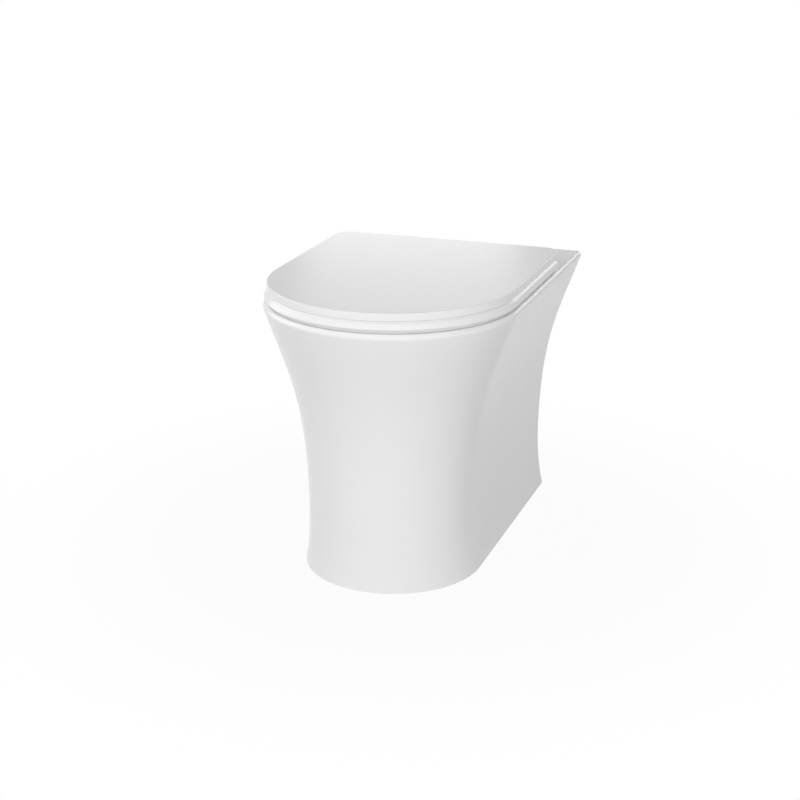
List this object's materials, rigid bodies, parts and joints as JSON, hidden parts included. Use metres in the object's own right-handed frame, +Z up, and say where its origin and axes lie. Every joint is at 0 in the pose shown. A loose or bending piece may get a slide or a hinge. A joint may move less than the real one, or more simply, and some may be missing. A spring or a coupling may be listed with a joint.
{
  "type": "back-to-wall toilet",
  "caption": "Floor-standing back-to-wall toilet pan with a flared D-shaped skirt in white glazed china, and a slim D-shaped soft-close seat and lid on rear hinges.",
  "frame": {"origin": "on the floor, on the centre line, halfway between the nose of the rim and the wall", "axes": "+X to the right as seen from the front, +Y towards the wall, +Z up"},
  "size_m": [0.3706, 0.5523, 0.4326],
  "materials": {
    "china": "gloss white glaze",
    "seat_resin": "gloss white moulded resin",
    "buffer_rubber": "soft pale rubber",
    "hinge_plastic": "white moulded plastic",
    "damper_plastic": "grey moulded plastic",
    "steel": "brushed stainless steel",
    "seal_rubber": "black rubber",
    "brass": "machined brass",
    "nut_plastic": "pale moulded plastic"
  },
  "bodies": {
    "pan_body": {"pan_skirt": "china", "pan_rim": "china", "pan_bowl": "china", "pan_trap": "china", "pan_inlet": "china", "hinge_block_left": "hinge_plastic", "hinge_block_right": "hinge_plastic", "seat_damper": "damper_plastic", "lid_damper": "damper_plastic", "seat_pivot_pin": "steel", "lid_pivot_pin": "steel", "hinge_bases": "steel", "base_gaskets": "seal_rubber", "stud_inserts": "brass", "hinge_studs": "steel", "cone_washers": "seal_rubber", "steel_washers": "steel", "wing_nuts": "nut_plastic"},
    "seat_body": {"seat_ring": "seat_resin", "seat_buffers": "buffer_rubber", "seat_damper_shaft": "steel", "seat_pivot_bush": "damper_plastic"},
    "lid_body": {"lid": "seat_resin", "lid_buffers": "buffer_rubber", "lid_damper_shaft": "steel", "lid_pivot_bush": "damper_plastic"}
  },
  "joints": [
    {"name": "seat_hinge", "type": "hinge", "parent": "pan_body", "child": "seat_body", "pos_m": [0, 0.177, 0.4212], "axis": [-1, 0, 0], "range_deg": [0, 93]},
    {"name": "lid_hinge", "type": "hinge", "parent": "seat_body", "child": "lid_body", "pos_m": [0, 0.177, 0.4212], "axis": [-1, 0, 0], "range_deg": [0, 90]}
  ]
}
